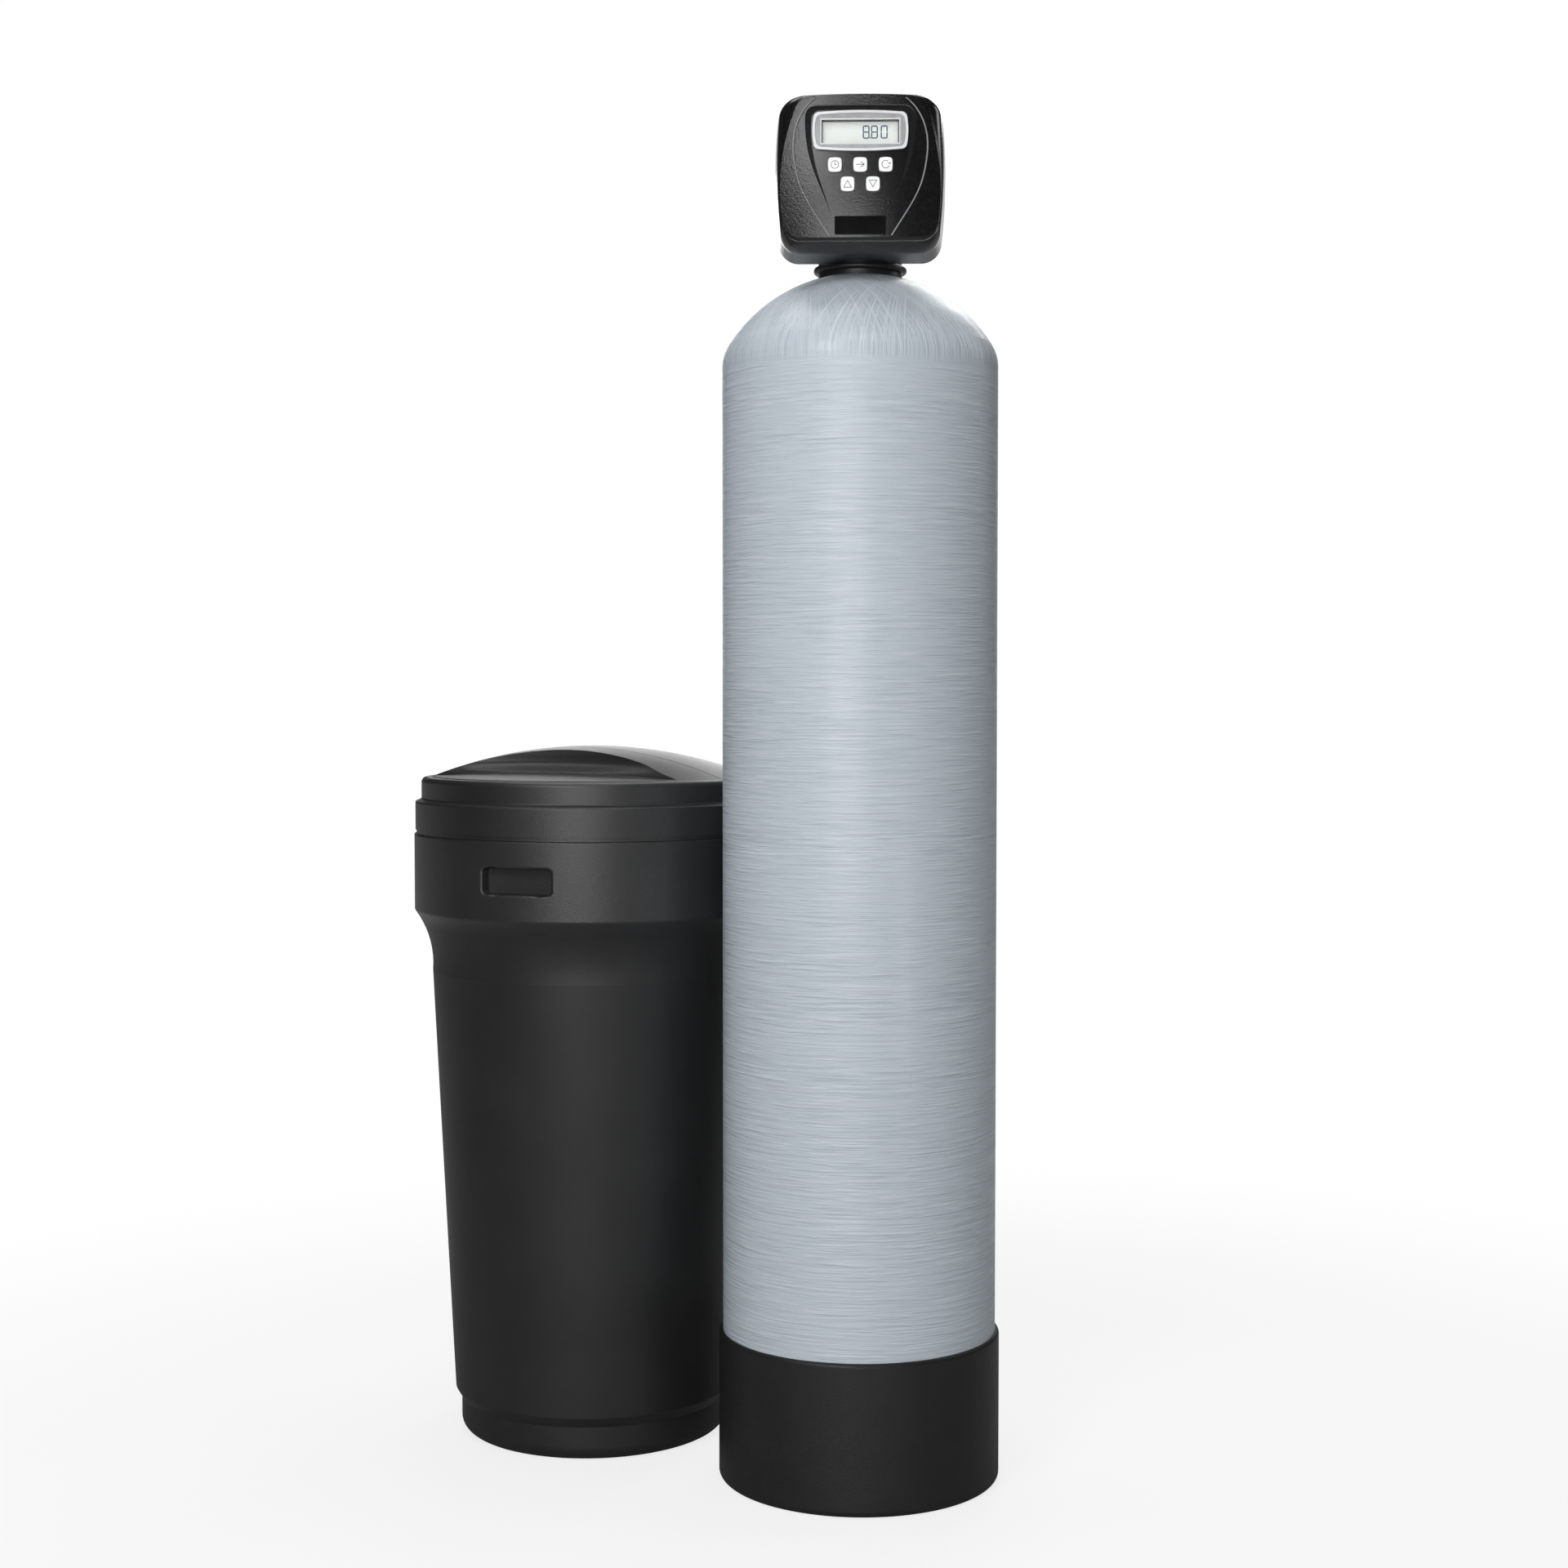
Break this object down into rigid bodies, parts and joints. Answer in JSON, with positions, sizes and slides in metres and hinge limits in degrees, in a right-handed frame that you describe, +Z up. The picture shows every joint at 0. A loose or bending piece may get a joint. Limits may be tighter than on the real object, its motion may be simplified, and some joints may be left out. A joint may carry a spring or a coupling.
{
  "type": "water softener",
  "caption": "Upright pressure vessel in a round base with an electronic control valve on its neck, and a separate round lidded brine tank beside it.",
  "frame": {"origin": "on the floor, at the centre of the vessel base's foot", "axes": "+Z up along the vessel, front of the valve towards -Y, brine tank towards -X and +Y"},
  "size_m": [0.6858, 0.549, 1.5107],
  "materials": {
    "winding": "glossy wound fibreglass with fine horizontal strands",
    "liner": "black polyethylene",
    "base_rubber": "satin black rubber",
    "white_plastic": "white moulded plastic",
    "gravel": "quartz gravel",
    "resin": "amber resin beads",
    "valve_plastic": "black glass-filled plastic",
    "grey_plastic": "grey moulded plastic",
    "seal_rubber": "black seal rubber",
    "steel": "zinc plated steel",
    "cover_plastic": "black moulded cover, grained face and glossy cheeks",
    "bezel_silver": "silver display frame",
    "window_clear": "clear display window",
    "display": "pale grey-green liquid crystal display",
    "badge": "bare black plate",
    "button_white": "white button",
    "board_green": "green circuit board",
    "gear_white": "natural acetal gear",
    "brine_plastic": "black satin polyethylene",
    "well_plastic": "white PVC pipe",
    "float_plastic": "white float"
  },
  "bodies": {
    "root": {"tank_base": "base_rubber", "vessel_winding": "winding", "vessel_liner": "liner", "riser_tube": "white_plastic", "lower_distributor": "white_plastic", "upper_distributor": "white_plastic", "gravel_bed": "gravel", "resin_bed": "resin", "valve_body": "valve_plastic", "neck_o_ring": "seal_rubber", "riser_o_ring": "seal_rubber", "drive_plate": "valve_plastic", "drive_cap": "grey_plastic", "spacer_stack": "white_plastic", "stack_seals": "seal_rubber", "motor": "steel", "drive_gear_cover": "valve_plastic", "plate_screws": "steel", "circuit_board": "board_green", "display_module": "display", "tact_switches": "steel", "injector_cap": "valve_plastic", "injector_nozzle": "white_plastic", "meter_plug": "valve_plastic", "inlet_fitting": "grey_plastic", "outlet_fitting": "grey_plastic", "port_nuts": "valve_plastic", "drain_elbow": "valve_plastic", "drain_clip": "steel", "brine_elbow": "valve_plastic", "brine_elbow_nut": "white_plastic", "brine_tank": "brine_plastic", "brine_well": "well_plastic", "safety_valve": "grey_plastic", "pickup_tube": "well_plastic", "air_check": "well_plastic", "overflow_elbow": "valve_plastic", "overflow_washer": "seal_rubber", "overflow_nut": "valve_plastic", "line_grommet": "seal_rubber"},
    "cover": {"front_cover": "cover_plastic", "display_bezel": "bezel_silver", "display_window": "window_clear", "badge_plate": "badge"},
    "set_key": {"set_button": "button_white"},
    "next_key": {"next_button": "button_white"},
    "regenerate_key": {"regenerate_button": "button_white"},
    "up_key": {"up_button": "button_white"},
    "down_key": {"down_button": "button_white"},
    "main_drive": {"main_gear": "gear_white"},
    "reduction_two": {"reduction_gear_two": "gear_white"},
    "reduction_one": {"reduction_gear_one": "gear_white"},
    "pinion": {"motor_pinion": "gear_white"},
    "piston_unit": {"piston": "grey_plastic", "piston_rod": "grey_plastic"},
    "turbine": {"meter_turbine": "white_plastic"},
    "lid": {"brine_lid": "brine_plastic"},
    "well_cap": {"brine_well_cap": "well_plastic"},
    "float_unit": {"float": "float_plastic", "float_rod": "float_plastic"}
  },
  "joints": [
    {"name": "cover_pull", "type": "slide", "parent": "root", "child": "cover", "axis": [0, -1, 0], "range_m": [0, 0.12]},
    {"name": "set_press", "type": "slide", "parent": "cover", "child": "set_key", "axis": [0, 1, 0], "range_m": [0, 0.0008], "stiffness_N_per_m": 2000},
    {"name": "next_press", "type": "slide", "parent": "cover", "child": "next_key", "axis": [0, 1, 0], "range_m": [0, 0.0008], "stiffness_N_per_m": 2000},
    {"name": "regenerate_press", "type": "slide", "parent": "cover", "child": "regenerate_key", "axis": [0, 1, 0], "range_m": [0, 0.0008], "stiffness_N_per_m": 2000},
    {"name": "up_press", "type": "slide", "parent": "cover", "child": "up_key", "axis": [0, 1, 0], "range_m": [0, 0.0008], "stiffness_N_per_m": 2000},
    {"name": "down_press", "type": "slide", "parent": "cover", "child": "down_key", "axis": [0, 1, 0], "range_m": [0, 0.0008], "stiffness_N_per_m": 2000},
    {"name": "main_gear_turn", "type": "hinge", "parent": "root", "child": "main_drive", "pos_m": [0, -0.0655, 1.416], "axis": [0, -1, 0], "range_deg": [0, 300]},
    {"name": "reduction_two_turn", "type": "hinge", "parent": "root", "child": "reduction_two", "pos_m": [0.02063, -0.0685, 1.45172], "axis": [0, -1, 0], "range_deg": [-1680.84, 0]},
    {"name": "reduction_one_turn", "type": "hinge", "parent": "root", "child": "reduction_one", "pos_m": [0.04294, -0.076, 1.45985], "axis": [0, -1, 0], "range_deg": [0, 4706.35]},
    {"name": "motor_pinion_turn", "type": "hinge", "parent": "root", "child": "pinion", "pos_m": [0.04294, -0.079, 1.4836], "axis": [0, -1, 0], "range_deg": [-13177.79, 0]},
    {"name": "piston_stroke", "type": "slide", "parent": "root", "child": "piston_unit", "axis": [0, -1, 0], "range_m": [0, 0.02602]},
    {"name": "turbine_spin", "type": "hinge", "parent": "root", "child": "turbine", "pos_m": [-0.036, 0.079, 1.404], "axis": [0, 1, 0], "continuous": true},
    {"name": "lid_lift", "type": "slide", "parent": "root", "child": "lid", "axis": [0, 0, 1], "range_m": [0, 0.25]},
    {"name": "well_cap_lift", "type": "slide", "parent": "root", "child": "well_cap", "axis": [0, 0, 1], "range_m": [0, 0.05]},
    {"name": "float_rise", "type": "slide", "parent": "root", "child": "float_unit", "axis": [0, 0, 1], "range_m": [0, 0.04]}
  ],
  "couplings": [
    {"joint": "reduction_two_turn", "follows": "main_gear_turn", "ratio": -5.6},
    {"joint": "reduction_one_turn", "follows": "main_gear_turn", "ratio": 15.68},
    {"joint": "motor_pinion_turn", "follows": "main_gear_turn", "ratio": -43.904},
    {"joint": "piston_stroke", "follows": "main_gear_turn", "m_per_rad": 0.0049656}
  ]
}
